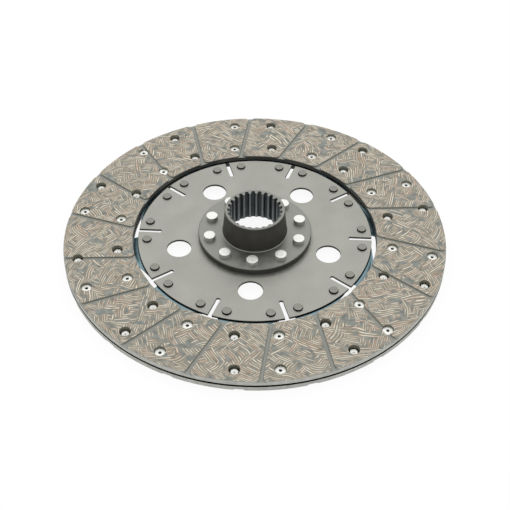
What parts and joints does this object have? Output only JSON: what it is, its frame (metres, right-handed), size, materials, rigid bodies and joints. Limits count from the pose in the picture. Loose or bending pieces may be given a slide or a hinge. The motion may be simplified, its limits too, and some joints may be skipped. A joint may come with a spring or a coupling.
{
  "type": "clutch disc",
  "caption": "Rigid friction clutch disc: splined hub riveted to a slotted carrier plate, with cushion segments and a grooved lining on both sides.",
  "frame": {"origin": "on the rotation axis, in the plane of the rear friction face", "axes": "+Z along the rotation axis, from the rear friction face towards the hub's barrel; +X is 18.9 degrees before the first segment's centre line"},
  "size_m": [0.31, 0.31, 0.0357],
  "materials": {
    "hub_steel": "dark phosphated barrel, machined flange and bore",
    "plate_steel": "satin cold-rolled sheet",
    "blued_spring_steel": "tempered to a blue-grey oxide",
    "lining": "wound yarn and brass wire in resin, ground flat",
    "plated_rivet": "bright zinc plate",
    "steel_rivet": "plain pressed steel"
  },
  "bodies": {
    "root": {"hub": "hub_steel", "carrier_plate": "plate_steel", "cushion_segment_01": "blued_spring_steel", "cushion_segment_02": "blued_spring_steel", "cushion_segment_03": "blued_spring_steel", "cushion_segment_04": "blued_spring_steel", "cushion_segment_05": "blued_spring_steel", "cushion_segment_06": "blued_spring_steel", "cushion_segment_07": "blued_spring_steel", "cushion_segment_08": "blued_spring_steel", "cushion_segment_09": "blued_spring_steel", "cushion_segment_10": "blued_spring_steel", "front_facing": "lining", "rear_facing": "lining", "hub_rivets": "plated_rivet", "segment_rivets": "steel_rivet", "front_facing_rivets_outer": "plated_rivet", "front_facing_rivets_inner": "plated_rivet", "rear_facing_rivets_outer": "plated_rivet", "rear_facing_rivets_inner": "plated_rivet"}
  },
  "joints": []
}
